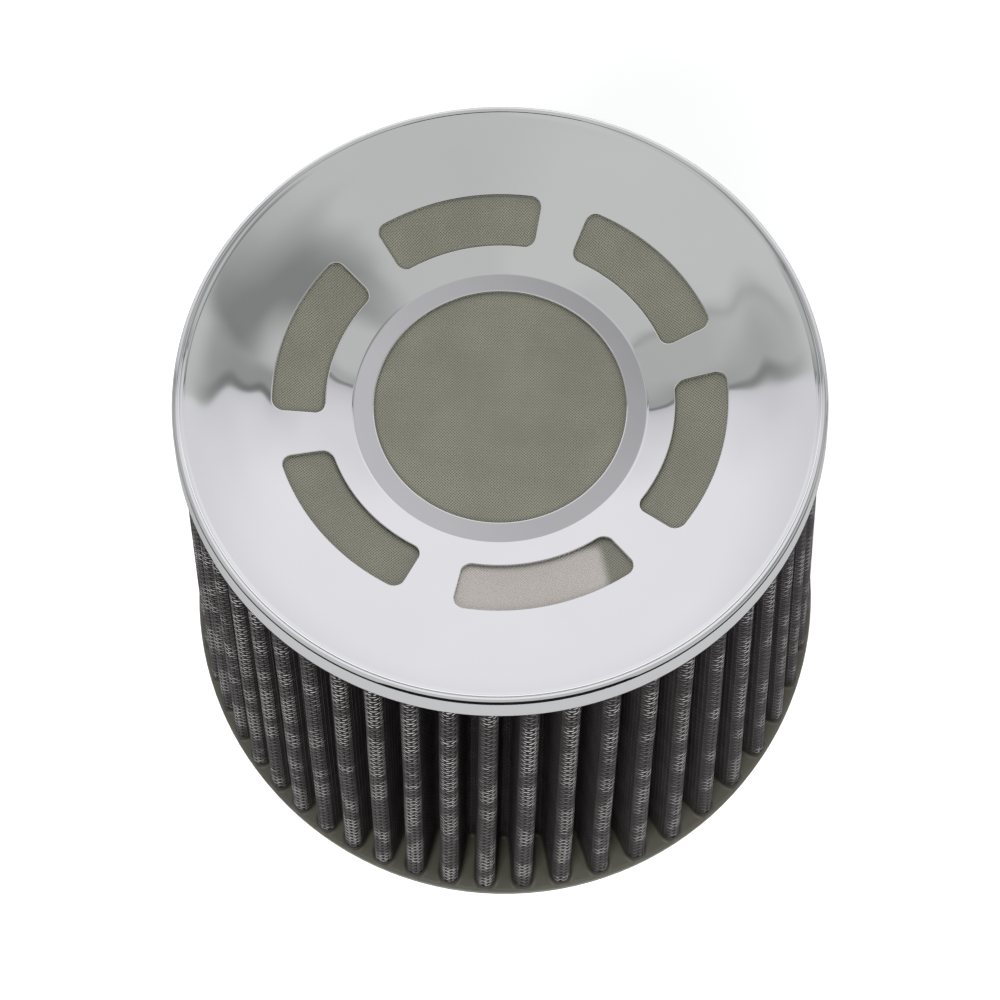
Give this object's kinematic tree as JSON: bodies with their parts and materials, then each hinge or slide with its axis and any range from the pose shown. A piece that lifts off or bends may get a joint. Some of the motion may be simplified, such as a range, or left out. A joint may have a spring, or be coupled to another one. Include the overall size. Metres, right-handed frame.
{
  "type": "performance air filter",
  "caption": "Clamp-on cone air filter: pleated screened wall between a moulded flange with an inlet neck and a slotted chromed cover.",
  "frame": {"origin": "middle of the neck's lower face, on the filter's axis", "axes": "+Z along the axis, from the neck to the cover; the picture is taken from -Y and above"},
  "size_m": [0.1932, 0.1932, 0.1753],
  "materials": {
    "chromed_sheet": "mirror polished chrome plate on pressed steel",
    "wire_gauze": "fine woven steel wire cloth, dull olive grey",
    "cotton": "oiled cotton gauze, matt",
    "moulded_seal": "cast polyurethane, satin",
    "coated_screen": "woven wire screen with a dark coating, bright on the wire tops",
    "moulded_flange": "cast polyurethane, glossy dark olive brown"
  },
  "bodies": {
    "root": {"top_cover": "chromed_sheet", "top_gauze": "wire_gauze", "top_cotton_pad": "cotton", "top_backing_gauze": "wire_gauze", "top_seal_ring": "moulded_seal", "outer_wire_screen": "coated_screen", "cotton_media": "cotton", "inner_wire_screen": "coated_screen", "base_flange": "moulded_flange"}
  },
  "joints": []
}
